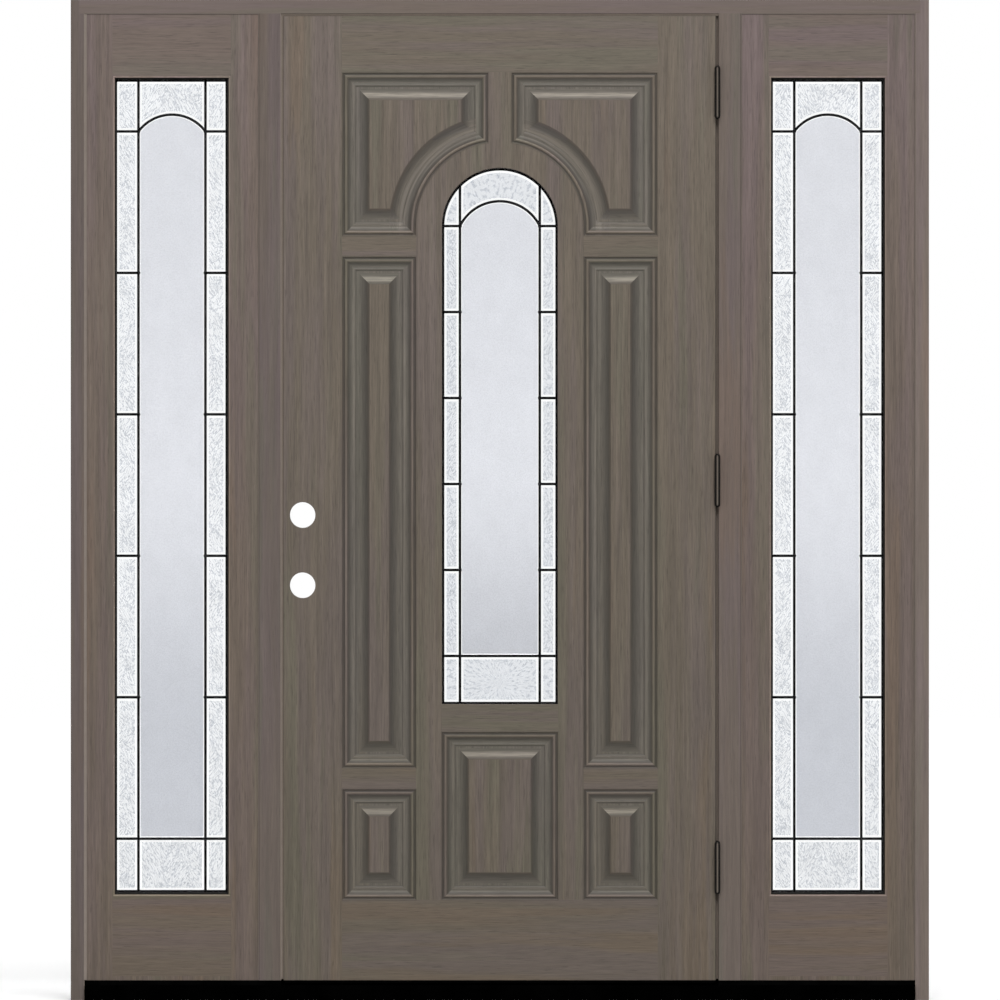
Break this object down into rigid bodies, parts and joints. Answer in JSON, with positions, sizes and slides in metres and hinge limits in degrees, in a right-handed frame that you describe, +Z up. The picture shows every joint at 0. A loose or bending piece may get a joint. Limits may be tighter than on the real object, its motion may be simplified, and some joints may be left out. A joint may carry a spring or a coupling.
{
  "type": "fiberglass front door",
  "caption": "Outswing fiberglass entry door with arched decorative lite and raised panels, hinged between two fixed full-lite sidelites in a frame with sill.",
  "frame": {"origin": "centre of the sill's underside", "axes": "+Z up, +X to the right seen from outside, -Y to the outside, where the leaf opens"},
  "size_m": [1.801, 0.1295, 2.1],
  "materials": {
    "stained_skin": "grey-brown stained moulded wood grain, satin",
    "frame_wood": "grey-brown stained grain, satin",
    "core_wood": "plain laminated timber",
    "foam": "rigid foam",
    "clear_glass": "clear tempered",
    "smooth_glass": "lightly seeded, translucent",
    "textured_glass": "rippled with bevelled margins",
    "came": "black patina",
    "spacer": "black",
    "base_pad": "black",
    "sill_metal": "black satin",
    "sill_composite": "dark composite",
    "seal": "dark foam and vinyl",
    "hinge_steel": "black satin"
  },
  "bodies": {
    "frame": {"left_side_jamb": "frame_wood", "right_side_jamb": "frame_wood", "head_jamb": "frame_wood", "strike_mullion": "frame_wood", "hinge_mullion": "frame_wood", "sill_substrate": "sill_composite", "sill_deck": "sill_metal", "sill_bumper": "sill_metal", "base_pads": "base_pad", "weatherstrip": "seal", "hinge_frame_flaps": "hinge_steel", "hinge_pins": "hinge_steel", "right_sidelite_safety_panes": "clear_glass", "right_sidelite_spacer": "spacer", "right_sidelite_cames": "came", "right_sidelite_centre_glass": "smooth_glass", "right_sidelite_border_glass": "textured_glass", "right_sidelite_outer_skin": "stained_skin", "right_sidelite_inner_skin": "stained_skin", "right_sidelite_stiles": "core_wood", "right_sidelite_rails": "core_wood", "left_sidelite_safety_panes": "clear_glass", "left_sidelite_spacer": "spacer", "left_sidelite_cames": "came", "left_sidelite_centre_glass": "smooth_glass", "left_sidelite_border_glass": "textured_glass", "left_sidelite_outer_skin": "stained_skin", "left_sidelite_inner_skin": "stained_skin", "left_sidelite_stiles": "core_wood", "left_sidelite_rails": "core_wood"},
    "door": {"door_safety_panes": "clear_glass", "door_spacer": "spacer", "door_cames": "came", "door_centre_glass": "smooth_glass", "door_border_glass": "textured_glass", "door_outer_skin": "stained_skin", "door_inner_skin": "stained_skin", "door_foam_core": "foam", "door_lock_stile": "core_wood", "door_hinge_stile": "core_wood", "door_top_rail": "core_wood", "door_bottom_rail": "core_wood", "door_sweep": "seal", "hinge_door_flaps": "hinge_steel"}
  },
  "joints": [
    {"name": "door_swing", "type": "hinge", "parent": "frame", "child": "door", "pos_m": [0.4564, -0.0655, 0], "axis": [0, 0, 1], "range_deg": [0, 180]}
  ]
}
